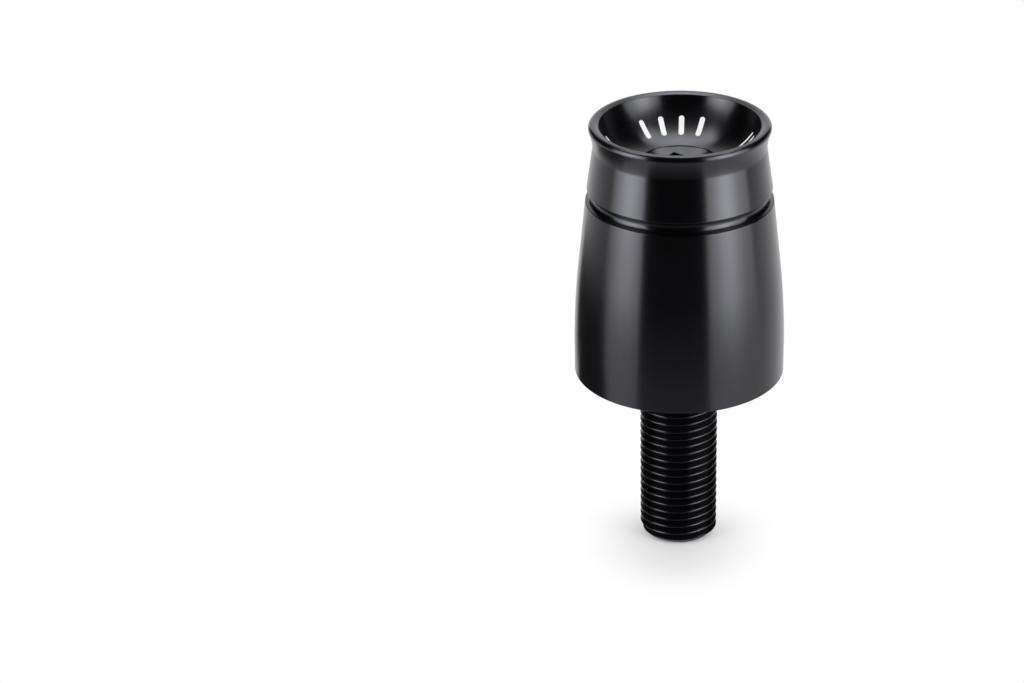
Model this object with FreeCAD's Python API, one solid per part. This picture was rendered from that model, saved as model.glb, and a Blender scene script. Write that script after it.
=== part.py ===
import FreeCAD, Part
import math
import os

# A bar end weight turned from one bar of aluminium, in millimetres.
# Heights are measured from the shoulder face, which seats on the end of the bar.
# The stud points down and the dished end with its hexagon socket points up.
# At the end the part is lifted to stand on the stud, whose end face holds the origin.

# Stud, plain at the major diameter of its M14 x 1.5 thread
STUD_DIAMETER = 14.0
STUD_LENGTH = 33.3
STUD_CHAMFER = 1.0

# Thread relief, the turned neck where the stud meets the shoulder
RELIEF_DIAMETER = 11.8
RELIEF_WIDTH = 3.8

# Barrel, from the shoulder to the groove
BODY_DIAMETER = 37.6
BODY_LENGTH = 47.2
SHOULDER_EDGE_BREAK = 0.15
LAND_LENGTH = 4.5
SWELL_LENGTH = 15.9
TAPER_ANGLE = 6.1

# Groove round the barrel
GROOVE_HEIGHT = 32.95
GROOVE_WIDTH = 2.15
GROOVE_DEPTH = 1.0
GROOVE_EDGE_BREAK = 0.15

# Neck, flare and lip above the groove
NECK_CONE_ANGLE = 8.0
NECK_CURVE_RADIUS = 3.8
FLARE_ANGLE = 33.7
RIM_DIAMETER = 31.9
LIP_RADIUS = 0.82

# Bowl-shaped dish in the end of the body, inside the rim's sloped face
RIM_FACE_WIDTH = 0.95
RIM_FACE_SLOPE = 22.0
DISH_DEPTH = 7.1
DISH_SAG = 1.1

# Countersunk hexagon socket in the floor of the dish
COUNTERSINK_DIAMETER = 13.8
COUNTERSINK_ANGLE = 120.0
SOCKET_ACROSS_FLATS = 10.0
SOCKET_DEPTH = 11.0
SOCKET_CORNER_DIRECTION = 100.0
PILOT_DIAMETER = 9.6
PILOT_EXTRA_DEPTH = 1.5
PILOT_POINT_ANGLE = 118.0

# The groove's floor and the dish's wall are each this many equal arcs, which mesh evenly
STRETCHES = 3

# Points closer than this are one point
SAME_PLACE = 1e-4


def point(radius, height):
    """A point of the turned profile, in the XZ plane."""
    return FreeCAD.Vector(radius, 0, height)


def on_circle(center, radius, angle):
    """The point of a profile circle at an angle up from the outward direction."""
    turn = math.radians(angle)
    return center + point(radius * math.cos(turn), radius * math.sin(turn))


def arcs(center, radius, angles):
    """Profile arcs about a centre, one from each angle to the next."""
    curves = []
    for start, end in zip(angles, angles[1:]):
        middle = on_circle(center, radius, (start + end) / 2)
        curves.append(
            Part.Arc(on_circle(center, radius, start), middle, on_circle(center, radius, end))
        )
    return curves


def sagged_arcs(start, end, sag):
    """Equal arcs of one circle between two points that bow to the left of the way they run."""
    along = end - start
    left = point(-along.z, along.x).normalize()
    half_chord = along.Length / 2
    radius = (half_chord**2 + sag**2) / (2 * sag)
    center = (start + end) / 2 + left * (sag - radius)
    middle = math.degrees(math.atan2(left.z, left.x))
    half_opening = math.degrees(2 * math.atan2(sag, half_chord))
    shares = [1 - 2 * index / STRETCHES for index in range(STRETCHES + 1)]
    return arcs(center, radius, [middle + half_opening * share for share in shares])


def turned_wire(curves):
    """Joins curves end to end with straight edges and closes the wire."""
    edges = []
    for curve, following in zip(curves, curves[1:] + curves[:1]):
        edges.append(curve.toShape())
        if not curve.EndPoint.isEqual(following.StartPoint, SAME_PLACE):
            edges.append(Part.LineSegment(curve.EndPoint, following.StartPoint).toShape())
    return Part.Wire(edges)


def stud_curves():
    """The stud's end chamfer, its side and the relief, from the axis to the shoulder."""
    stud_radius = STUD_DIAMETER / 2
    relief_radius = RELIEF_DIAMETER / 2
    flat_radius = stud_radius - STUD_CHAMFER
    flank = stud_radius - relief_radius
    end_face = Part.LineSegment(point(0, -STUD_LENGTH), point(flat_radius, -STUD_LENGTH))
    chamfered_side = Part.LineSegment(
        point(stud_radius, -STUD_LENGTH + STUD_CHAMFER), point(stud_radius, -RELIEF_WIDTH)
    )
    relief_floor = Part.LineSegment(
        point(relief_radius, flank - RELIEF_WIDTH), point(relief_radius, 0)
    )
    return [end_face, chamfered_side, relief_floor]


def barrel_curves():
    """The shoulder's broken edge and the swell from the straight land to the taper."""
    body_radius = BODY_DIAMETER / 2
    edge = Part.LineSegment(
        point(body_radius - SHOULDER_EDGE_BREAK, 0), point(body_radius, SHOULDER_EDGE_BREAK)
    )
    swell_radius = SWELL_LENGTH / math.sin(math.radians(TAPER_ANGLE))
    swell_center = point(body_radius - swell_radius, LAND_LENGTH)
    return [edge] + arcs(swell_center, swell_radius, (0, TAPER_ANGLE))


def taper_radius(height):
    """The barrel's radius at a height on its straight taper."""
    swell_end = barrel_curves()[-1].EndPoint
    return swell_end.x - (height - swell_end.z) * math.tan(math.radians(TAPER_ANGLE))


def rim_curves():
    """The concave neck that flares out and the lip rounded over to the rim's sloped face."""
    lip_center = point(RIM_DIAMETER / 2 - LIP_RADIUS, BODY_LENGTH - LIP_RADIUS)
    lip = arcs(lip_center, LIP_RADIUS, (-FLARE_ANGLE, 0, 45, 90, 90 + RIM_FACE_SLOPE))
    neck_center = on_circle(lip_center, LIP_RADIUS + NECK_CURVE_RADIUS, -FLARE_ANGLE)
    neck = arcs(neck_center, NECK_CURVE_RADIUS, (180 + NECK_CONE_ANGLE, 180 - FLARE_ANGLE))
    return neck + lip


def neck_cone_radius(height):
    """The radius of the cone between the groove and the neck."""
    neck_start = rim_curves()[0].StartPoint
    return neck_start.x + (neck_start.z - height) * math.tan(math.radians(NECK_CONE_ANGLE))


def groove_curves():
    """The round groove between its two broken edges."""
    lower = GROOVE_HEIGHT
    upper = GROOVE_HEIGHT + GROOVE_WIDTH
    lower_edge = point(taper_radius(lower) - GROOVE_EDGE_BREAK, lower)
    upper_edge = point(neck_cone_radius(upper) - GROOVE_EDGE_BREAK, upper)
    lower_break = point(taper_radius(lower - GROOVE_EDGE_BREAK), lower - GROOVE_EDGE_BREAK)
    upper_break = point(neck_cone_radius(upper + GROOVE_EDGE_BREAK), upper + GROOVE_EDGE_BREAK)
    floor = sagged_arcs(lower_edge, upper_edge, GROOVE_DEPTH - GROOVE_EDGE_BREAK)
    lower_side = Part.LineSegment(lower_break, lower_edge)
    upper_side = Part.LineSegment(upper_edge, upper_break)
    return [lower_side] + floor + [upper_side]


def dish_edge():
    """The point where the rim's sloped face ends and the dish begins."""
    radius = RIM_DIAMETER / 2 - LIP_RADIUS - RIM_FACE_WIDTH
    lip_end = rim_curves()[-1].EndPoint
    drop = (lip_end.x - radius) * math.tan(math.radians(RIM_FACE_SLOPE))
    return point(radius, lip_end.z - drop)


def dish_curves():
    """The dish's concave wall and the countersink from its mouth down to the axis."""
    mouth = point(COUNTERSINK_DIAMETER / 2, BODY_LENGTH - DISH_DEPTH)
    countersink_depth = mouth.x / math.tan(math.radians(COUNTERSINK_ANGLE / 2))
    apex = point(0, mouth.z - countersink_depth)
    return sagged_arcs(dish_edge(), mouth, DISH_SAG) + [Part.LineSegment(mouth, apex)]


def turned_body():
    """The stud, barrel, groove, neck, rim and dish as one turned solid."""
    curves = stud_curves() + barrel_curves() + groove_curves() + rim_curves() + dish_curves()
    profile = Part.Face(turned_wire(curves))
    return profile.revolve(FreeCAD.Vector(0, 0, 0), FreeCAD.Vector(0, 0, 1), 360)


def hexagon_socket():
    """The broached hexagon with the drilled pilot hole and its point below it."""
    mouth = BODY_LENGTH - DISH_DEPTH
    floor = mouth - SOCKET_DEPTH
    corner_radius = SOCKET_ACROSS_FLATS / 2 / math.cos(math.radians(30))
    corners = []
    for index in range(7):
        turn = math.radians(SOCKET_CORNER_DIRECTION + 60 * index)
        corners.append(
            FreeCAD.Vector(corner_radius * math.cos(turn), corner_radius * math.sin(turn), floor)
        )
    hexagon = Part.Face(Part.makePolygon(corners)).extrude(FreeCAD.Vector(0, 0, SOCKET_DEPTH))
    pilot_radius = PILOT_DIAMETER / 2
    pilot_floor = floor - PILOT_EXTRA_DEPTH
    point_depth = pilot_radius / math.tan(math.radians(PILOT_POINT_ANGLE / 2))
    pilot_length = PILOT_EXTRA_DEPTH + SOCKET_DEPTH / 2
    pilot = Part.makeCylinder(pilot_radius, pilot_length, FreeCAD.Vector(0, 0, pilot_floor))
    tip = Part.makeCone(
        0, pilot_radius, point_depth, FreeCAD.Vector(0, 0, pilot_floor - point_depth)
    )
    return hexagon.fuse([pilot, tip])


def bar_end_weight():
    """The whole part, one solid, standing on the end of its stud."""
    solid = turned_body().cut(hexagon_socket()).removeSplitter()
    solid.translate(FreeCAD.Vector(0, 0, STUD_LENGTH))
    return solid


os.makedirs("parts", exist_ok=True)
weight = bar_end_weight()
weight.exportStep("parts/bar_end_weight.step")
print("solids", len(weight.Solids), "valid", weight.isValid())
print("box", weight.BoundBox)
print("volume cm3", round(weight.Volume / 1000, 3))
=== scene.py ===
import math

import bmesh
import bpy
from bpy.props import FloatProperty, FloatVectorProperty, IntProperty, PointerProperty
from mathutils import Matrix, Vector


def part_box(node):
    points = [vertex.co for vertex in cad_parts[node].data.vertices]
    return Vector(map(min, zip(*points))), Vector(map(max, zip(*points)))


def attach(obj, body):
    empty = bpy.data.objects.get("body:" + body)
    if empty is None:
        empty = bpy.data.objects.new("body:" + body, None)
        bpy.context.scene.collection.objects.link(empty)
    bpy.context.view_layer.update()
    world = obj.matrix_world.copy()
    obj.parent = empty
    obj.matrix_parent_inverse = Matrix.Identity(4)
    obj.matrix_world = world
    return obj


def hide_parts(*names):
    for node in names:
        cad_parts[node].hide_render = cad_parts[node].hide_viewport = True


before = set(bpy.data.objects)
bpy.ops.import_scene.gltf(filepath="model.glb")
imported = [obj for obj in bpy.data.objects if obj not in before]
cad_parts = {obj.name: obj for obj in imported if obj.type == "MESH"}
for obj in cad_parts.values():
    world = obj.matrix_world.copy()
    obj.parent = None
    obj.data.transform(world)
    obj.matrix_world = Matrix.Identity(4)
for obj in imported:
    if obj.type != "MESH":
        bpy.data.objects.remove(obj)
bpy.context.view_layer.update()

bl_info = {
    "name": "Bar End Weight",
    "version": (1, 0, 0),
    "blender": (4, 5, 0),
    "location": "View3D > Sidebar > Bar End Weight",
    "description": "Builds a turned bar end weight and the studio it stands in",
    "category": "Object",
}

MM = 0.001
NODE = "bar_end_weight"
BODY = "root"
PART_LOW, PART_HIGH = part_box(NODE)
PHOTO_WIDTH = 1024
PHOTO_HEIGHT = 683
SENSOR_WIDTH_MM = 36.0

# Points of a mesh closer than this are one point
MERGE_DISTANCE = 0.0005 * MM

# Faces lower than this below the shoulder belong to the stud
SHOULDER_MARGIN = 0.01 * MM

# A stretch this many times as long as its neighbour gets a brace, at most this far from its end
BRACE_RATIO = 4
BRACE_LENGTH = 0.07 * MM
BRACE_SHARE = 0.25

# Section of the thread: half widths of crest and root as shares of the pitch, and how much deeper
# than the flanks the sharp root is
CREST_SHARE = 1 / 16
ROOT_SHARE = 1 / 50
ROOT_DIP = 0.005 * MM

# Its rounding, as steps outward from the root's edge and down from the flank's foot, then as steps
# outward from the crest's edge and down from the crest
ROOT_ROUNDING = ((0.0, -0.017 * MM), (0.03 * MM, -0.069 * MM))
CREST_ROUNDING = ((-0.085 * MM, 0.13 * MM), (-0.05 * MM, 0.07 * MM), (0.02 * MM, 0.012 * MM))

# How strongly rings, grain and blotches mark the finish: its colour, its roughness, its relief
RINGS_IN_COLOUR = 0.5
GRAIN_IN_COLOUR = 0.3
BLOTCHES_IN_COLOUR = 0.2
RINGS_IN_ROUGHNESS = 0.06
GRAIN_IN_ROUGHNESS = 0.03
BLOTCHES_IN_ROUGHNESS = 0.05
RINGS_IN_RELIEF = 0.5
FINE_RINGS_IN_RELIEF = 0.5
GRAIN_IN_RELIEF = 0.12

# Rows along a printed mark and columns across it
MARK_ROWS = 26
MARK_COLUMNS = 4

# The studio: a black tent around the floor, open behind the part, with lamps and cards at their
# distances from the axis
FLOOR_SIZE = 3.0
CARD_LIFT = 0.2 * MM
TENT_RADIUS = 1.6
TENT_HEIGHT = 2.0
TENT_HALF_ANGLE = 152
LAMP_DISTANCE = 0.2
LEFT_CARD_DISTANCE = 0.08
LEFT_CARD_HEIGHT = 0.035
SHADOW_SHIFT = 8.3 * MM


def length_setting(name, description, default):
    """A length property in metres."""
    return FloatProperty(
        name=name, description=description, default=default, subtype="DISTANCE", precision=5
    )


def angle_setting(name, description, degrees):
    """An angle property, given in degrees."""
    return FloatProperty(
        name=name, description=description, default=math.radians(degrees), subtype="ANGLE"
    )


def colour_setting(name, description, default):
    """A linear colour property without alpha."""
    return FloatVectorProperty(
        name=name, description=description, default=default, size=3, min=0, max=1, subtype="COLOR"
    )


class BarEndSizes(bpy.types.PropertyGroup):
    """Sizes of the turned part, from the shoulder face up and down."""

    segments: IntProperty(
        name="Segments", description="Facets all round, a multiple of six", default=180, min=24
    )
    stud_length: length_setting("Stud length", "From the end face to the shoulder", 33.3 * MM)
    stud_chamfer: length_setting("Stud chamfer", "Chamfer at the stud's end", 1.0 * MM)
    thread_diameter: length_setting("Thread diameter", "Major diameter of the thread", 14.0 * MM)
    thread_pitch: length_setting("Thread pitch", "Distance from crest to crest", 1.5 * MM)
    relief_diameter: length_setting("Relief diameter", "Turned neck below the shoulder", 11.8 * MM)
    relief_width: length_setting("Relief width", "Height of the relief with its flank", 3.8 * MM)
    shoulder_edge: length_setting("Shoulder edge", "Rounding of the lower edge", 0.18 * MM)
    land_length: length_setting("Land length", "Straight part above the shoulder", 4.5 * MM)
    swell_length: length_setting("Swell length", "Curve from the land to the taper", 15.9 * MM)
    taper_angle: angle_setting("Taper angle", "Half angle of the barrel's taper", 6.1)
    groove_height: length_setting("Groove height", "Shoulder to its lower edge", 32.95 * MM)
    groove_width: length_setting("Groove width", "Distance between the groove's edges", 2.15 * MM)
    groove_depth: length_setting("Groove depth", "Depth of the round groove", 1.0 * MM)
    groove_edge: length_setting("Groove edge", "Rounding of the groove's edges", 0.15 * MM)
    neck_cone_angle: angle_setting("Neck cone angle", "Half angle above the groove", 8.0)
    neck_radius: length_setting("Neck radius", "Curve from the cone to the flare", 2.5 * MM)
    flare_start: angle_setting("Flare start", "Slope at which the flare leaves the neck", 2.0)
    flare_radius: length_setting("Flare radius", "Concave curve of the flare", 9.0 * MM)
    flare_angle: angle_setting("Flare angle", "Steepest slope of the flare", 22.0)
    rim_diameter: length_setting("Rim diameter", "Widest point of the lip", 31.9 * MM)
    lip_radius: length_setting("Lip radius", "Rounding of the lip", 0.82 * MM)
    rim_face_width: length_setting("Rim face width", "From the lip's crest to the dish", 0.95 * MM)
    rim_face_slope: angle_setting("Rim face slope", "Fall of the rim face into the dish", 22.0)
    dish_depth: length_setting("Dish depth", "From the rim to the countersink", 7.1 * MM)
    dish_sag: length_setting("Dish sag", "How far the dish's wall bows outward", 1.1 * MM)
    dish_edge: length_setting("Dish edge", "Rounding between rim face and dish", 0.15 * MM)
    countersink_diameter: length_setting("Countersink diameter", "Mouth of the cone", 13.8 * MM)
    countersink_angle: angle_setting("Countersink angle", "Included angle of the cone", 120.0)
    countersink_step: length_setting("Countersink step", "Drop round the cone's mouth", 0.15 * MM)
    countersink_edge: length_setting("Countersink edge", "Rounding of that drop", 0.05 * MM)
    socket_across_flats: length_setting("Across flats", "Size of the hexagon", 10.0 * MM)
    socket_edge: length_setting("Socket edge", "Broken edge round the hexagon", 0.06 * MM)
    socket_depth: length_setting("Socket depth", "From the dish's floor down", 11.0 * MM)
    socket_corner: angle_setting("Socket corner", "Direction of one corner", 100.0)
    pilot_diameter: length_setting("Pilot diameter", "Drilled hole under the hexagon", 9.6 * MM)
    pilot_depth: length_setting("Pilot depth", "Straight part under the hexagon", 1.5 * MM)
    pilot_point_angle: angle_setting("Pilot point", "Included angle of the drill point", 118)


class IndexMarkSizes(bpy.types.PropertyGroup):
    """Sizes and places of the printed index marks on the wall of the dish."""

    low: FloatProperty(
        name="Lower end", description="Share of the dish's wall, up from its floor", default=0.25
    )
    thickness: length_setting("Thickness", "Thickness of the ink", 0.02 * MM)
    far_high: FloatProperty(
        name="Far upper end", description="Upper end of the small group's marks", default=0.63
    )
    far_width: length_setting("Far width", "Width of a mark of the small group", 0.95 * MM)
    far_count: IntProperty(name="Far marks", description="Marks in the small group", default=4)
    far_middle: angle_setting("Far middle", "Direction of the small group's middle", 97.6)
    far_spread: angle_setting("Far spread", "Angle between its outer marks", 54.6)
    near_count: IntProperty(name="Near marks", description="Marks in the large group", default=27)
    near_middle: angle_setting("Near middle", "Direction of the large group's middle", 274.0)
    near_spread: angle_setting("Near spread", "Angle between its outer marks", 190.0)
    near_width: length_setting("Near width", "Width of a mark of the large group", 0.5 * MM)
    near_high: FloatProperty(
        name="Near upper end", description="Upper end of the large group's marks", default=0.74
    )


class BarEndFinish(bpy.types.PropertyGroup):
    """Colours of the anodised metal and of the printed marks."""

    anodised: colour_setting("Anodised", "Black of the anodised metal", (0.0005, 0.0006, 0.0008))
    worn: colour_setting("Lighter grain", "Lighter grain in the black", (0.0011, 0.0012, 0.0015))
    roughness: FloatProperty(
        name="Roughness", description="Roughness of the turned body", default=0.24, min=0, max=1
    )
    thread_roughness: FloatProperty(
        name="Thread roughness", description="Roughness of the thread", default=0.2, min=0, max=1
    )
    stretch: FloatProperty(
        name="Stretch", description="Stretch of highlights across the turning", default=0.8
    )
    ior: FloatProperty(name="IOR", description="Refractive index of the finish", default=1.745)
    tint: colour_setting("Tint", "Tint of what the finish reflects", (0.89, 0.9, 1.0))
    ink: colour_setting("Ink", "White of the printed marks", (0.95, 0.95, 0.95))
    ink_speckle: FloatProperty(
        name="Ink speckle", description="Darkest shade of the ink, as a share", default=0.9
    )


class BarEndStudio(bpy.types.PropertyGroup):
    """Camera, floor and lamps."""

    floor: colour_setting("Floor", "Colour of the floor", (0.88, 0.88, 0.88))
    world: colour_setting("World", "Light from all round", (0.65, 0.65, 0.65))
    # Strength of the front card's glow, a painted reflection of the floor
    front_glow: FloatProperty(
        name="Front glow", description="Strength of the floor seen in the front", default=0.41
    )
    camera_distance: length_setting("Camera distance", "Level distance to the axis", 466.3 * MM)
    camera_elevation: angle_setting("Camera elevation", "Angle above the horizon", 24.67)
    camera_roll: angle_setting("Camera roll", "Turn about the line of sight", 0.18)
    aim_height: length_setting("Aim height", "Point of the axis placed in the picture", 53.37 * MM)
    aim_x: FloatProperty(name="Aim x", description="Its column in the photograph", default=679.3)
    aim_y: FloatProperty(name="Aim y", description="Its row in the photograph", default=264.7)
    focal_pixels: FloatProperty(name="Focal length", description="In pixels", default=2883.0)


def at(radius, height):
    """A point of the turned profile."""
    return Vector((radius, height))


def on_circle(center, radius, angle):
    """The point of a profile circle at an angle up from the outward direction."""
    return center + at(math.cos(angle), math.sin(angle)) * radius


def arc(center, radius, start, end, steps):
    """Points along a profile arc, both ends included."""
    return [on_circle(center, radius, start + (end - start) * i / steps) for i in range(steps + 1)]


def sagged_arc(start, end, sag, steps):
    """Points along an arc between two points that bows to the left of the way it runs."""
    along = end - start
    half = along.length / 2
    radius = (half * half + sag * sag) / (2 * sag)
    left = at(-along.y, along.x).normalized()
    center = (start + end) / 2 - left * (radius - sag)
    first = math.atan2(start.y - center.y, start.x - center.x)
    last = math.atan2(end.y - center.y, end.x - center.x)
    turn = (last - first + math.pi) % math.tau - math.pi
    return arc(center, radius, first, first + turn, steps)


def rounded(points, corner, radius, steps):
    """The points with one corner replaced by an arc of the given radius."""
    before, here, after = points[corner - 1 : corner + 2]
    way_in = (before - here).normalized()
    way_out = (after - here).normalized()
    half = math.acos(max(-1, min(1, way_in.dot(way_out)))) / 2
    reach = radius / math.tan(half)
    center = here + (way_in + way_out).normalized() * (radius / math.sin(half))
    first = here + way_in * reach
    last = here + way_out * reach
    start = math.atan2(first.y - center.y, first.x - center.x)
    end = math.atan2(last.y - center.y, last.x - center.x)
    turn = (end - start + math.pi) % math.tau - math.pi
    return points[:corner] + arc(center, radius, start, start + turn, steps) + points[corner + 1 :]


def braced(points):
    """The points with one more where a long stretch meets a short one, so that it shades flat."""
    lengths = [(end - start).length for start, end in zip(points, points[1:])]
    neighbours = [lengths[0]] + lengths + [lengths[-1]]
    line = [points[0]]
    for index, (start, end) in enumerate(zip(points, points[1:])):
        length = lengths[index]
        brace = (end - start) * min(BRACE_SHARE, BRACE_LENGTH / length)
        if neighbours[index] * BRACE_RATIO < length:
            line.append(start + brace)
        if neighbours[index + 2] * BRACE_RATIO < length:
            line.append(end - brace)
        line.append(end)
    return line


class Profile:
    """The turned profile of the part, with heights above the end of the stud."""

    def __init__(self, sizes):
        self.sizes = sizes
        self.shoulder = sizes.stud_length
        self.top = PART_HIGH[2]
        self.body_radius = min(-PART_LOW[0], -PART_LOW[1], PART_HIGH[0], PART_HIGH[1])

    def relief(self):
        """From the top of the thread up the relief and out along the shoulder face."""
        radius = self.sizes.relief_diameter / 2
        return [at(radius, self.thread_top()), at(radius, self.shoulder)]

    def thread_top(self):
        """Height at which the relief's flank reaches its floor."""
        flank = (self.sizes.thread_diameter - self.sizes.relief_diameter) / 2
        return self.shoulder - self.sizes.relief_width + flank

    def barrel(self):
        """The shoulder's rounded edge, the straight land and the swell."""
        sizes = self.sizes
        edge = sizes.shoulder_edge
        edge_center = at(self.body_radius - edge, self.shoulder + edge)
        swell_radius = sizes.swell_length / math.sin(sizes.taper_angle)
        swell_start = at(self.body_radius, self.shoulder + sizes.land_length)
        swell_center = swell_start - at(swell_radius, 0)
        lower_edge = arc(edge_center, edge, -math.pi / 2, 0, steps=5)
        return lower_edge + arc(swell_center, swell_radius, 0, sizes.taper_angle, steps=14)

    def rim(self):
        """The concave neck, the flare and the lip rounded over to the rim face."""
        sizes = self.sizes
        lip_center = at(sizes.rim_diameter / 2 - sizes.lip_radius, self.top - sizes.lip_radius)
        reach = sizes.lip_radius + sizes.flare_radius
        flare_center = on_circle(lip_center, reach, -sizes.flare_angle)
        neck_start = math.pi + sizes.neck_cone_angle
        neck_end = math.pi - sizes.flare_start
        flare_end = math.pi - sizes.flare_angle
        flare = arc(flare_center, sizes.flare_radius, neck_end, flare_end, steps=12)
        neck_center = on_circle(flare[0], sizes.neck_radius, -sizes.flare_start)
        neck = arc(neck_center, sizes.neck_radius, neck_start, neck_end, steps=6)
        crest = math.pi / 2
        inner_end = crest + sizes.rim_face_slope
        lip = arc(lip_center, sizes.lip_radius, -sizes.flare_angle, crest, steps=18)
        inner_lip = arc(lip_center, sizes.lip_radius, crest, inner_end, steps=5)
        return neck + flare[1:] + lip[1:] + inner_lip[1:]

    def groove(self, below, above):
        """The groove between the taper that ends below it and the cone that starts above it."""
        sizes = self.sizes
        lower = self.shoulder + sizes.groove_height
        upper = lower + sizes.groove_width
        lower_radius = below.x - (lower - below.y) * math.tan(sizes.taper_angle)
        upper_radius = above.x + (above.y - upper) * math.tan(sizes.neck_cone_angle)
        edge = sizes.groove_edge
        depth = sizes.groove_depth - edge
        lower_end = at(lower_radius - edge, lower)
        upper_end = at(upper_radius - edge, upper)
        floor = sagged_arc(lower_end, upper_end, depth, steps=16)
        lower_break = arc(lower_end - at(0, edge), edge, 0, math.pi / 2, steps=3)
        upper_break = arc(upper_end + at(0, edge), edge, -math.pi / 2, 0, steps=3)
        return lower_break[:-1] + floor + upper_break[1:]

    def dish(self, lip_end):
        """The wall of the dish, from the end of the rim face down to the countersink."""
        sizes = self.sizes
        radius = sizes.rim_diameter / 2 - sizes.lip_radius - sizes.rim_face_width
        drop = (lip_end.x - radius) * math.tan(sizes.rim_face_slope)
        mouth = at(sizes.countersink_diameter / 2, self.top - sizes.dish_depth)
        return sagged_arc(at(radius, lip_end.y - drop), mouth, sizes.dish_sag, steps=26)

    def outside(self):
        """From the relief over the barrel, the groove and the rim to the rim face."""
        barrel = self.barrel()
        rim = self.rim()
        line = self.relief() + barrel + self.groove(barrel[-1], rim[0]) + rim
        return line[:1] + braced(line[1:])


def hexagon_radius(angle, sizes):
    """Distance from the axis to the hexagon's side in a direction."""
    side = math.radians(60)
    turn = (angle - sizes.socket_corner) % side - side / 2
    return sizes.socket_across_flats / 2 / math.cos(turn)


def socket_rings(profile, angles):
    """Rings from the rim face over the dish and down the hexagon to the drill point."""
    sizes = profile.sizes
    lip_end = profile.rim()[-1]
    wall = profile.dish(lip_end)
    mouth = wall[-1]
    fall = 1 / math.tan(sizes.countersink_angle / 2)
    foot = mouth - at(0, sizes.countersink_step)
    reach = 0.4 * MM
    line = [lip_end] + wall + [foot, foot - at(reach, reach * fall)]
    line = rounded(line, len(wall) + 1, sizes.countersink_edge, steps=2)
    line = rounded(line, len(wall), sizes.countersink_edge, steps=3)
    line = braced(rounded(line, 1, sizes.dish_edge, steps=4))[1:]
    floor = mouth.y - sizes.socket_depth
    pilot = sizes.pilot_diameter / 2
    pilot_floor = floor - sizes.pilot_depth
    tip = pilot_floor - pilot / math.tan(sizes.pilot_point_angle / 2)
    rings = [[(p.x, p.y)] * len(angles) for p in line]
    edge = sizes.socket_edge
    hexagon = [hexagon_radius(angle, sizes) for angle in angles]
    cone = [(radius + edge, foot.y - (foot.x - radius - edge) * fall) for radius in hexagon]
    brace = [(radius + edge, height + edge * fall) for radius, height in cone]
    brink = [(radius, height - edge) for (_, height), radius in zip(cone, hexagon)]
    rings += [brace, cone, brink, [(radius, (brink[0][1] + floor) / 2) for radius in hexagon]]
    rings.append([(radius, floor) for radius in hexagon])
    rings.append([(pilot, floor)] * len(angles))
    rings.append([(pilot, pilot_floor)] * len(angles))
    rings.append([(pilot / 2, (pilot_floor + tip) / 2)] * len(angles))
    return rings, tip


def thread_shape(pitch):
    """Steps along one pitch, from root to root, and how far each lies below the crest."""
    flank = math.sqrt(3)
    crest = pitch * CREST_SHARE
    root = pitch * ROOT_SHARE
    rise = (pitch / 2 - root - crest) * flank
    half = [(-pitch / 2, rise + ROOT_DIP)]
    half += [(-pitch / 2 + root + along, rise + drop) for along, drop in ROOT_ROUNDING]
    half += [(-crest + along, drop) for along, drop in CREST_ROUNDING]
    return half + [(0, 0)] + [(-along, drop) for along, drop in reversed(half[1:])]


def thread_columns(profile, angles):
    """Points up the thread for each direction, cut by the end chamfer and the relief."""
    sizes = profile.sizes
    crest = sizes.thread_diameter / 2
    pitch = sizes.thread_pitch
    top = profile.thread_top()
    relief = sizes.relief_diameter / 2
    flat = crest - sizes.stud_chamfer
    shape = thread_shape(pitch)
    columns = []
    for index in range(len(angles)):
        lead = pitch * index / len(angles)
        column = []
        for turn in range(-1, math.ceil(top / pitch) + 2):
            for along, drop in shape:
                height = turn * pitch + along + lead
                if height <= 0:
                    column.append((flat, 0))
                elif height >= top:
                    column.append((relief, top))
                else:
                    radius = min(crest - drop, flat + height, relief + top - height)
                    column.append((radius, height))
        columns.append(column)
    return columns


def add_point(mesh, radius, angle, height):
    """A vertex at a radius, a direction and a height."""
    return mesh.verts.new((radius * math.cos(angle), radius * math.sin(angle), height))


def add_loop(mesh, ring, angles):
    """Vertices of one ring of radius and height pairs."""
    return [
        add_point(mesh, radius, angle, height) for (radius, height), angle in zip(ring, angles)
    ]


def bridge(mesh, lower, upper):
    """Quads between two rings of vertices."""
    count = len(lower)
    for i in range(count):
        j = (i + 1) % count
        mesh.faces.new((lower[i], lower[j], upper[j], upper[i]))


def cap(mesh, ring, tip, up):
    """A fan of triangles from a ring to a point on the axis."""
    center = mesh.verts.new((0, 0, tip))
    count = len(ring)
    for i in range(count):
        j = (i + 1) % count
        mesh.faces.new((ring[i], ring[j], center) if up else (ring[j], ring[i], center))


def add_thread(mesh, profile, angles):
    """The helical thread as a band whose columns climb one pitch in a turn."""
    per_pitch = len(thread_shape(profile.sizes.thread_pitch))
    grid = [
        [add_point(mesh, radius, angle, height) for radius, height in column]
        for column, angle in zip(thread_columns(profile, angles), angles)
    ]
    for i, column in enumerate(grid):
        following = grid[(i + 1) % len(grid)]
        at_seam = i == len(grid) - 1
        beside = following[per_pitch:] if at_seam else following
        for row in range(len(beside) - 1):
            mesh.faces.new((column[row], beside[row], beside[row + 1], column[row + 1]))


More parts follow.
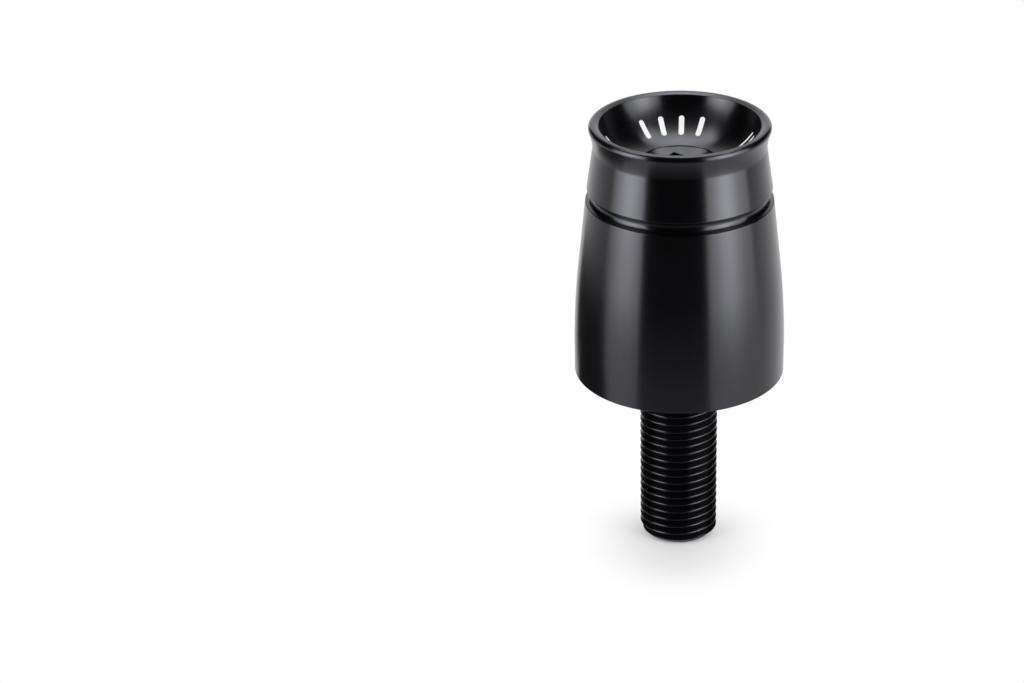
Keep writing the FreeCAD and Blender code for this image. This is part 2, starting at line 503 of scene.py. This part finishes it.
def weight_mesh(sizes):
    """The whole part as one closed mesh."""
    profile = Profile(sizes)
    count = sizes.segments
    angles = [sizes.socket_corner + math.tau * i / count for i in range(count)]
    mesh = bmesh.new()
    flat = sizes.thread_diameter / 2 - sizes.stud_chamfer
    end_ring = add_loop(mesh, [(flat, 0)] * count, angles)
    cap(mesh, end_ring, 0, up=False)
    add_thread(mesh, profile, angles)
    rings = [[(p.x, p.y)] * count for p in profile.outside()]
    sunk, tip = socket_rings(profile, angles)
    loops = [add_loop(mesh, ring, angles) for ring in rings + sunk]
    for lower, upper in zip(loops, loops[1:]):
        bridge(mesh, lower, upper)
    cap(mesh, loops[-1], tip, up=True)
    stud_top = profile.shoulder - SHOULDER_MARGIN
    merge_points(mesh)
    for face in mesh.faces:
        face.material_index = int(face.calc_center_median().z < stud_top)
    return mesh


def merge_points(mesh):
    """Joins points that lie together and turns every face outward."""
    bmesh.ops.remove_doubles(mesh, verts=mesh.verts[:], dist=MERGE_DISTANCE)
    bmesh.ops.dissolve_degenerate(mesh, edges=mesh.edges[:], dist=MERGE_DISTANCE)
    bmesh.ops.recalc_face_normals(mesh, faces=mesh.faces[:])


def finished_object(name, mesh, materials, sharp_angle):
    """An object from a bmesh, smooth but for the edges sharper than an angle."""
    data = bpy.data.meshes.new(name)
    mesh.to_mesh(data)
    mesh.free()
    for material in materials:
        data.materials.append(material)
    for polygon in data.polygons:
        polygon.use_smooth = True
    data.set_sharp_from_angle(angle=sharp_angle)
    piece = bpy.data.objects.new(name, data)
    bpy.context.scene.collection.objects.link(piece)
    return piece


class Value:
    """A shader socket that can be used in Python expressions."""

    def __init__(self, graph, socket):
        self.graph = graph
        self.socket = socket

    def math(self, operation, *values):
        """A Math node of this socket and other values."""
        return self.graph.math(operation, self, *values)

    def __add__(self, other):
        return self.math("ADD", other)

    __radd__ = __add__

    def __sub__(self, other):
        return self.math("SUBTRACT", other)

    def __rsub__(self, other):
        return self.graph.math("SUBTRACT", other, self)

    def __mul__(self, other):
        return self.math("MULTIPLY", other)

    __rmul__ = __mul__

    def __truediv__(self, other):
        return self.math("DIVIDE", other)

    def __rtruediv__(self, other):
        return self.graph.math("DIVIDE", other, self)

    def __pow__(self, other):
        return self.math("POWER", other)


class Graph:
    """A node tree that is built up from expressions."""

    def __init__(self, tree):
        self.tree = tree
        tree.nodes.clear()

    def node(self, kind, settings=None, inputs=None, output=0):
        """A node of a type, with its settings and then its inputs set or linked."""
        node = self.tree.nodes.new(kind)
        for key, setting in (settings or {}).items():
            setattr(node, key, setting)
        for key, value in (inputs or {}).items():
            if isinstance(value, Value):
                self.tree.links.new(value.socket, node.inputs[key])
            else:
                node.inputs[key].default_value = value
        return Value(self, node.outputs[output]) if node.outputs else node

    def math(self, operation, *values):
        """A Math node of the given values or sockets."""
        return self.node("ShaderNodeMath", {"operation": operation}, dict(enumerate(values)))

    def mix(self, factor, first, second):
        """A colour between two colours, through the Mix node's colour sockets."""
        inputs = {0: factor, 6: first, 7: second}
        return self.node("ShaderNodeMix", {"data_type": "RGBA"}, inputs, output=2)

    def place(self):
        """The surface point in the object's own coordinates."""
        return self.node("ShaderNodeTexCoord", output="Object")

    def axis(self, vector, name):
        """One of the three numbers of a vector."""
        return self.node("ShaderNodeSeparateXYZ", inputs={"Vector": vector}, output=name)

    def length(self, vector):
        """The length of a vector."""
        return self.node(
            "ShaderNodeVectorMath", {"operation": "LENGTH"}, {0: vector}, output="Value"
        )

    def grey(self, value):
        """A grey of one value."""
        return self.node("ShaderNodeCombineXYZ", inputs={"X": value, "Y": value, "Z": value})

    def noise(self, vector, scale, detail, roughness, dimensions="3D"):
        """The strength of a noise texture."""
        return self.node(
            "ShaderNodeTexNoise",
            {"noise_dimensions": dimensions},
            {"Vector": vector, "Scale": scale, "Detail": detail, "Roughness": roughness},
        )

    def smooth_step(self, value, low, high, at_low, at_high):
        """A smooth step of a value from one level to another."""
        span = {"From Min": low, "From Max": high, "To Min": at_low, "To Max": at_high}
        return self.node(
            "ShaderNodeMapRange", {"interpolation_type": "SMOOTHSTEP"}, {"Value": value, **span}
        )

    def surface(self, shader):
        """The shader goes to the material's surface."""
        self.node("ShaderNodeOutputMaterial", inputs={"Surface": shader})


def new_material(name):
    """An empty node material and its graph."""
    material = bpy.data.materials.new(name)
    material.use_nodes = True
    return material, Graph(material.node_tree)


def opaque(colour):
    """A colour property as four numbers."""
    return (*colour, 1.0)


def turned_coordinates(graph, place):
    """Distance from the axis and height of a surface point, in millimetres."""
    x = graph.axis(place, "X")
    y = graph.axis(place, "Y")
    return (x * x + y * y) ** 0.5 / MM, graph.axis(place, "Z") / MM


def anodised_material(name, finish, roughness, stretch):
    """Black anodised metal with the fine rings that turning leaves."""
    material, graph = new_material(name)
    place = graph.place()
    radius, height = turned_coordinates(graph, place)
    slant = 0.7
    track = graph.node(
        "ShaderNodeCombineXYZ", inputs={"X": radius * slant, "Y": height, "Z": 0.0}
    )
    rings = graph.noise(track, scale=9.0, detail=4.0, roughness=0.6, dimensions="2D")
    fine_rings = graph.noise(track, scale=38.0, detail=2.0, roughness=0.5, dimensions="2D")
    grain = graph.noise(place, scale=5200.0, detail=3.0, roughness=0.6)
    blotches = graph.noise(place, scale=130.0, detail=2.0, roughness=0.5)
    mean = 0.5
    shading = rings * RINGS_IN_COLOUR + grain * GRAIN_IN_COLOUR + blotches * BLOTCHES_IN_COLOUR
    unevenness = (
        (rings - mean) * RINGS_IN_ROUGHNESS
        + (blotches - mean) * BLOTCHES_IN_ROUGHNESS
        + (grain - mean) * GRAIN_IN_ROUGHNESS
    )
    ridges = fine_rings * FINE_RINGS_IN_RELIEF + rings * RINGS_IN_RELIEF + grain * GRAIN_IN_RELIEF
    relief = graph.node(
        "ShaderNodeBump", inputs={"Strength": 0.12, "Distance": 0.01 * MM, "Height": ridges}
    )
    shader = graph.node(
        "ShaderNodeBsdfPrincipled",
        inputs={
            "Base Color": graph.mix(shading, opaque(finish.anodised), opaque(finish.worn)),
            "Metallic": 0.0,
            "Roughness": unevenness + roughness,
            "IOR": finish.ior,
            "Specular IOR Level": 0.5,
            "Specular Tint": opaque(finish.tint),
            "Anisotropic": stretch,
            "Anisotropic Rotation": 0.25,
            "Normal": relief,
        },
    )
    graph.surface(shader)
    return material


def ink_material(finish):
    """Matt white printing ink with a faint speckle."""
    material, graph = new_material("white_printing_ink")
    speckle = graph.noise(graph.place(), scale=4000.0, detail=3.0, roughness=0.6)
    shade = tuple(channel * finish.ink_speckle for channel in finish.ink)
    relief = graph.node(
        "ShaderNodeBump", inputs={"Strength": 0.2, "Distance": 0.005 * MM, "Height": speckle}
    )
    shader = graph.node(
        "ShaderNodeBsdfPrincipled",
        inputs={
            "Base Color": graph.mix(speckle, opaque(finish.ink), opaque(shade)),
            "Roughness": 0.45 + speckle * 0.15,
            "Specular IOR Level": 0.4,
            "Normal": relief,
        },
    )
    graph.surface(shader)
    return material


class BAR_END_OT_weight(bpy.types.Operator):
    """Build the turned weight with its thread and socket"""

    bl_idname = "bar_end.weight"
    bl_label = "Turned Weight"

    def execute(self, context):
        sizes = context.scene.bar_end_sizes
        finish = context.scene.bar_end_finish
        body = anodised_material(
            "black_anodised_aluminium", finish, finish.roughness, finish.stretch
        )
        thread = anodised_material(
            "black_anodised_thread", finish, finish.thread_roughness, stretch=0.0
        )
        piece = finished_object(
            "turned_weight", weight_mesh(sizes), (body, thread), sharp_angle=math.radians(38)
        )
        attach(piece, BODY)
        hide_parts(NODE)
        return {"FINISHED"}


def wall_point(wall, share):
    """The point and the tangent of the dish's wall at a share up from its floor."""
    place = (1 - share) * (len(wall) - 1)
    index = min(int(place), len(wall) - 2)
    start, end = wall[index], wall[index + 1]
    tangent = (end - start).normalized()
    return start + (end - start) * (place - index), tangent


def mark_sheet(mesh, wall, marks, middle, high, width, lift):
    """Rows of points across one mark, lifted off the wall, whose ends are rounded."""
    length = (wall[0] - wall[-1]).length * (high - marks.low)
    end_share = width / 2 / length
    sheet = []
    for row in range(MARK_ROWS + 1):
        step = (1 - math.cos(math.pi * row / MARK_ROWS)) / 2
        from_end = min(step, 1 - step) / end_share
        inset = 1 - math.sqrt(max(0, 1 - (1 - min(1, from_end)) ** 2))
        half = width / 2 * (1 - inset)
        point, tangent = wall_point(wall, marks.low + (high - marks.low) * step)
        inward = Vector((tangent.y, -tangent.x))
        if inward.x > 0:
            inward = -inward
        place = point + inward * lift
        sides = [half / point.x * (2 * i / MARK_COLUMNS - 1) for i in range(MARK_COLUMNS + 1)]
        sheet.append([add_point(mesh, place.x, middle + side, place.y) for side in sides])
    return sheet


def add_quad(mesh, corners, flip):
    """A face between four points, turned over where asked."""
    mesh.faces.new(corners[::-1] if flip else corners)


def index_mark(mesh, wall, marks, middle, high, width):
    """One radial bar with rounded ends, laid on the curve of the wall."""
    top = mark_sheet(mesh, wall, marks, middle, high, width, marks.thickness)
    bottom = mark_sheet(mesh, wall, marks, middle, high, width, -marks.thickness)
    for row in range(MARK_ROWS):
        for i in range(MARK_COLUMNS):
            for sheet, flip in ((top, False), (bottom, True)):
                near, far = sheet[row], sheet[row + 1]
                add_quad(mesh, (near[i], near[i + 1], far[i + 1], far[i]), flip)
        for i, flip in ((0, False), (MARK_COLUMNS, True)):
            upper, lower = (top[row][i], top[row + 1][i]), (bottom[row + 1][i], bottom[row][i])
            add_quad(mesh, upper + lower, flip)
    for row, flip in ((0, True), (MARK_ROWS, False)):
        above, below = top[row], bottom[row]
        for i in range(MARK_COLUMNS):
            add_quad(mesh, (above[i], above[i + 1], below[i + 1], below[i]), flip)


class BAR_END_OT_index_marks(bpy.types.Operator):
    """Print the white index marks on the wall of the dish"""

    bl_idname = "bar_end.index_marks"
    bl_label = "Index Marks"

    def execute(self, context):
        marks = context.scene.bar_end_marks
        profile = Profile(context.scene.bar_end_sizes)
        wall = profile.dish(profile.rim()[-1])
        mesh = bmesh.new()
        for group in ("far", "near"):
            count = getattr(marks, group + "_count")
            middle = getattr(marks, group + "_middle")
            spread = getattr(marks, group + "_spread")
            high = getattr(marks, group + "_high")
            width = getattr(marks, group + "_width")
            for index in range(count):
                angle = middle + spread * (index / (count - 1) - 0.5)
                index_mark(mesh, wall, marks, angle, high, width)
        merge_points(mesh)
        ink = ink_material(context.scene.bar_end_finish)
        piece = finished_object("index_marks", mesh, (ink,), sharp_angle=math.radians(50))
        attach(piece, BODY)
        return {"FINISHED"}


def stage_object(name, mesh, material):
    """A piece of the studio from a bmesh, which isn't part of the weight."""
    data = bpy.data.meshes.new(name)
    mesh.to_mesh(data)
    mesh.free()
    data.materials.append(material)
    piece = bpy.data.objects.new(name, data)
    bpy.context.scene.collection.objects.link(piece)
    return piece


def square_floor(size, height, material):
    """A flat square under the part."""
    mesh = bmesh.new()
    bmesh.ops.create_grid(mesh, x_segments=1, y_segments=1, size=size / 2)
    stage_object("floor", mesh, material).location = (0, 0, height)


def seen_as_background(graph):
    """Factors of the camera's own rays and of those that metal and glass send on."""
    rays = "ShaderNodeLightPath"
    seen = graph.node(rays, output="Is Camera Ray")
    mirrored = graph.node(rays, output="Is Glossy Ray")
    through = graph.node(rays, output="Is Transmission Ray")
    return seen, mirrored.math("MAXIMUM", through)


def floor_material(studio):
    """Pale floor that keeps the shadow, shows nearly white to the camera and glows with painted
    shade in reflections.
    """
    material, graph = new_material("pale_floor")
    seen, sent_on = seen_as_background(graph)
    place = graph.place()
    distance = graph.length(place)
    backward = graph.axis(place, "Y") / (distance + MM)
    # Painted shade of the floor as reflections see it: dimmer far off, towards the camera's side
    # and next to the part, where it is a painted shadow of the part
    away = graph.smooth_step(distance, low=0.15, high=0.55, at_low=1.0, at_high=0.7)
    behind = graph.smooth_step(backward, low=0.0, high=0.9, at_low=0.62, at_high=1.0)
    near = graph.smooth_step(distance, low=0.02, high=0.06, at_low=0.5, at_high=1.0)
    shade = graph.grey((away * behind * near).math("MAXIMUM", seen))
    shifted = graph.node("ShaderNodeVectorMath", inputs={0: place, 1: (0, SHADOW_SHIFT, 0)})
    outside = graph.length(shifted)
    outward = graph.smooth_step(outside, low=0.003, high=0.024, at_low=0.0, at_high=1.0)
    shows = (seen * outward).math("MAXIMUM", sent_on)
    lit = graph.node("ShaderNodeBsdfDiffuse", inputs={"Color": opaque(studio.floor)})
    glow = graph.node("ShaderNodeEmission", inputs={"Color": shade, "Strength": 1.0})
    graph.surface(graph.node("ShaderNodeMixShader", inputs={0: shows, 1: lit, 2: glow}))
    return material


def cloth_material(name, shade):
    """Matt cloth of one grey."""
    material, graph = new_material(name)
    graph.surface(graph.node("ShaderNodeBsdfDiffuse", inputs={"Color": opaque([shade] * 3)}))
    return material


def front_material(studio):
    """A painted reflection of the floor on the camera's side: a glow with painted shade that fades
    with the distance, and a painted shadow of the part next to it.
    """
    material, graph = new_material("front_floor_painted_shade")
    full_until, fade = 0.045, 0.055
    distance = graph.length(graph.place())
    # Painted shadow of the part: the glow falls to 0.3 next to it
    near = graph.smooth_step(distance, low=0.025, high=0.055, at_low=0.3, at_high=1.0)
    faded = ((full_until - distance) / fade).math("EXPONENT").math("MINIMUM", 1.0)
    glow = {"Color": graph.grey(faded * near), "Strength": studio.front_glow}
    graph.surface(graph.node("ShaderNodeEmission", inputs=glow))
    return material


def lamp_material(name, middle, width, level, peak):
    """A glowing sheet that is brightest in one direction from the axis, given in degrees."""
    material, graph = new_material(name)
    place = graph.place()
    direction = graph.axis(place, "X").math("ARCTAN2", graph.axis(place, "Y") * -1.0)
    off = (direction - math.radians(middle)) / math.radians(width)
    shine = (off * off * -1.0).math("EXPONENT") * (1.0 - level / peak) + level / peak
    glow = {"Color": graph.grey(shine), "Strength": peak}
    graph.surface(graph.node("ShaderNodeEmission", inputs=glow))
    return material


def stage_sheet(name, near, far, first, last, material):
    """A sheet swept about the axis from one direction to another, unseen by the camera.

    Its two edges are given as radius and height, its directions from the camera's side.
    """
    steps = 32
    mesh = bmesh.new()
    pairs = []
    for step in range(steps + 1):
        angle = math.radians(first + (last - first) * step / steps - 90)
        pairs.append([add_point(mesh, radius, angle, height) for radius, height in (near, far)])
    for (start, end), (next_start, next_end) in zip(pairs, pairs[1:]):
        mesh.faces.new((start, end, next_end, next_start))
    sheet = stage_object(name, mesh, material)
    sheet.visible_camera = False
    sheet.visible_shadow = False
    return sheet


def soft_lamp(name, span, heights, material):
    """A tall soft lamp beside the part, between two directions and two heights."""
    low, high = heights
    stage_sheet(name, (LAMP_DISTANCE, low), (LAMP_DISTANCE, high), *span, material)


def card(name, near, far, first, last, material):
    """A card that only reflections show."""
    sheet = stage_sheet(name, near, far, first, last, material)
    sheet.visible_diffuse = False


def top_lamp(width, depth, location, radiance):
    """A rectangular lamp that faces down and isn't seen itself."""
    lamp = bpy.data.lights.new("top_lamp", "AREA")
    lamp.shape = "RECTANGLE"
    lamp.size = width
    lamp.size_y = depth
    lamp.energy = radiance * math.pi * width * depth
    box = bpy.data.objects.new("top_lamp", lamp)
    box.location = location
    box.visible_camera = False
    bpy.context.scene.collection.objects.link(box)


def set_world(studio):
    """A world that is white where it is seen and less bright as a light."""
    world = bpy.data.worlds.new("studio_world")
    world.use_nodes = True
    bpy.context.scene.world = world
    graph = Graph(world.node_tree)
    seen, sent_on = seen_as_background(graph)
    white = (1.0, 1.0, 1.0)
    colour = graph.mix(seen.math("MAXIMUM", sent_on), opaque(studio.world), opaque(white))
    background = graph.node("ShaderNodeBackground", inputs={"Color": colour, "Strength": 1.0})
    graph.node("ShaderNodeOutputWorld", inputs={"Surface": background})


def set_camera(studio):
    """A camera that puts one point of the axis at its pixel in the photograph."""
    rise = studio.camera_distance * math.tan(studio.camera_elevation)
    target = Vector((0, 0, studio.aim_height))
    location = Vector((0, -studio.camera_distance, studio.aim_height + rise))
    look = (target - location).to_track_quat("-Z", "Y")
    across = (studio.aim_x - PHOTO_WIDTH / 2) / studio.focal_pixels
    up = (PHOTO_HEIGHT / 2 - studio.aim_y) / studio.focal_pixels
    offset = Vector((across, up, -1)).rotation_difference(Vector((0, 0, -1)))
    roll = Matrix.Rotation(studio.camera_roll, 3, "Z").to_quaternion()
    data = bpy.data.cameras.new("photo_camera")
    data.sensor_width = SENSOR_WIDTH_MM
    data.lens = studio.focal_pixels / PHOTO_WIDTH * SENSOR_WIDTH_MM
    data.clip_start = 0.01
    camera = bpy.data.objects.new("photo_camera", data)
    camera.location = location
    camera.rotation_mode = "QUATERNION"
    camera.rotation_quaternion = look @ roll @ offset
    bpy.context.scene.collection.objects.link(camera)
    bpy.context.scene.camera = camera


class BAR_END_OT_stage(bpy.types.Operator):
    """Set up the floor, the soft lamps and the camera"""

    bl_idname = "bar_end.stage"
    bl_label = "Studio"

    def execute(self, context):
        studio = context.scene.bar_end_studio
        square_floor(FLOOR_SIZE, PART_LOW[2], floor_material(studio))
        low = PART_LOW[2] + CARD_LIFT
        cloth = cloth_material("black_cloth", shade=0.002)
        grey_cloth = cloth_material("grey_cloth", shade=0.035)
        front = front_material(studio)
        # The front card glows as a painted reflection of the floor with painted shade, and only
        # reflections see it
        card("front_card", (0.012, low), (1.4, low), first=-41.5, last=30.7, material=front)
        foot = (LEFT_CARD_DISTANCE, low)
        top = (LEFT_CARD_DISTANCE, low + LEFT_CARD_HEIGHT)
        card("left_card", foot, top, first=-138, last=-78.5, material=grey_cloth)
        card("left_card_foot", (0.03, low), foot, first=-134, last=-75.5, material=grey_cloth)
        eaves = (TENT_RADIUS, TENT_HEIGHT)
        tent = (-TENT_HALF_ANGLE, TENT_HALF_ANGLE)
        card("cloth_round", (TENT_RADIUS, low), eaves, *tent, cloth)
        card("cloth_above", (0.0, TENT_HEIGHT), eaves, *tent, cloth)
        soft_lamp(
            "left_lamp",
            span=(-86.5, -41.5),
            heights=(0.013, 0.205),
            material=lamp_material("left_lamp", middle=-60.5, width=17.5, level=1.0, peak=4.6),
        )
        soft_lamp(
            "right_lamp",
            span=(31.7, 89.5),
            heights=(0.007, 0.232),
            material=lamp_material("right_lamp", middle=56.5, width=15, level=1.7, peak=4.9),
        )
        top_lamp(width=0.68, depth=0.3, location=(0, 0.185, 0.62), radiance=2.8)
        set_world(studio)
        set_camera(studio)
        context.scene.view_settings.view_transform = "Standard"
        return {"FINISHED"}


class BAR_END_PT_panel(bpy.types.Panel):
    """Lists the settings and the operators of the bar end weight"""

    bl_idname = "BAR_END_PT_panel"
    bl_label = "Bar End Weight"
    bl_space_type = "VIEW_3D"
    bl_region_type = "UI"
    bl_category = "Bar End Weight"

    def draw(self, context):
        for name in SETTINGS:
            settings = getattr(context.scene, name)
            for key in settings.bl_rna.properties.keys():
                if key not in ("rna_type", "name"):
                    self.layout.prop(settings, key)
        for operator in OPERATORS:
            self.layout.operator(operator.bl_idname)


SETTINGS = {
    "bar_end_sizes": BarEndSizes,
    "bar_end_marks": IndexMarkSizes,
    "bar_end_finish": BarEndFinish,
    "bar_end_studio": BarEndStudio,
}
OPERATORS = (BAR_END_OT_weight, BAR_END_OT_index_marks, BAR_END_OT_stage)


def register():
    """Registers the classes and hangs the settings on the scene."""
    for group in SETTINGS.values():
        bpy.utils.register_class(group)
    for cls in OPERATORS + (BAR_END_PT_panel,):
        bpy.utils.register_class(cls)
    for name, group in SETTINGS.items():
        setattr(bpy.types.Scene, name, PointerProperty(type=group))


def unregister():
    """Takes the settings and the classes away again."""
    for name in SETTINGS:
        delattr(bpy.types.Scene, name)
    for cls in (BAR_END_PT_panel,) + OPERATORS[::-1]:
        bpy.utils.unregister_class(cls)
    for group in SETTINGS.values():
        bpy.utils.unregister_class(group)


def main():
    """Builds everything."""
    register()
    bpy.ops.bar_end.weight()
    bpy.ops.bar_end.index_marks()
    bpy.ops.bar_end.stage()


if __name__ == "__main__":
    main()
